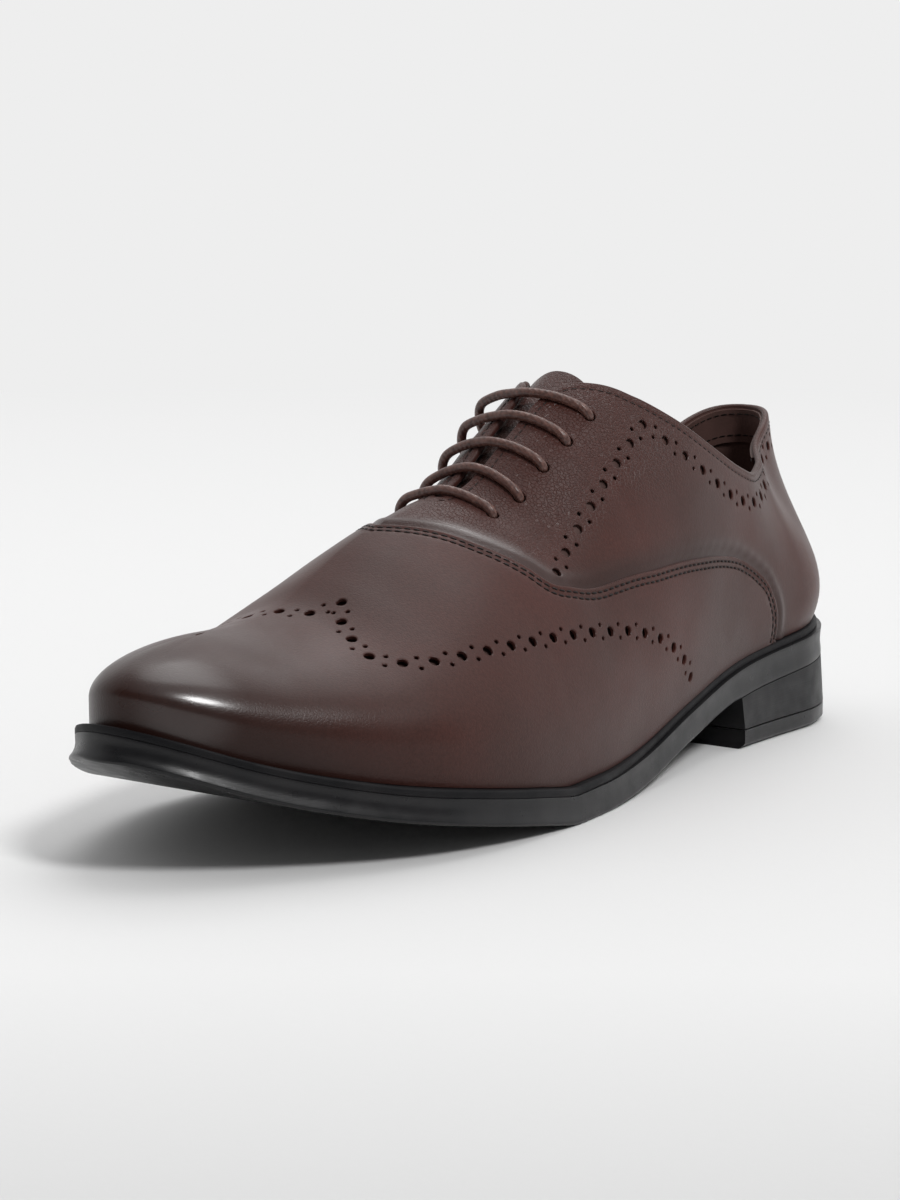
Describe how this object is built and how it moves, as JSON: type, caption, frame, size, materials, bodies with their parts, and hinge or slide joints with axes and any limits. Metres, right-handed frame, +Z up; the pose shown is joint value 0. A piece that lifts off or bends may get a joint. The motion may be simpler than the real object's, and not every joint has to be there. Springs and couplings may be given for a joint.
{
  "type": "wingtip oxford dress shoe",
  "caption": "Low laced dress shoe for a left foot: leather upper with a lapped wing-shaped vamp, closed lacing, rubber sole and stacked heel, standing empty.",
  "frame": {"origin": "on the floor under the middle of the shoe's box, where the heel and the forefoot stand", "axes": "+Z up; the toe points to -Y and the heel to +Y; +X is the wearer's outer (little toe) side of this left shoe"},
  "size_m": [0.107, 0.3064, 0.1152],
  "materials": {
    "upper_leather": "smooth dark brown calf, waxed, burnished darker at the toe",
    "lining": "matt dark brown lining leather",
    "lace": "waxed round brown cotton",
    "sole_rubber": "black semi-gloss rubber"
  },
  "bodies": {
    "root": {"upper": "upper_leather", "tongue": "upper_leather", "insole": "lining", "lace_bar_1": "lace", "lace_bar_2": "lace", "lace_bar_3": "lace", "lace_bar_4": "lace", "lace_bar_5": "lace", "welt": "sole_rubber", "outsole": "sole_rubber", "heel": "sole_rubber", "top_lift": "sole_rubber"}
  },
  "joints": []
}
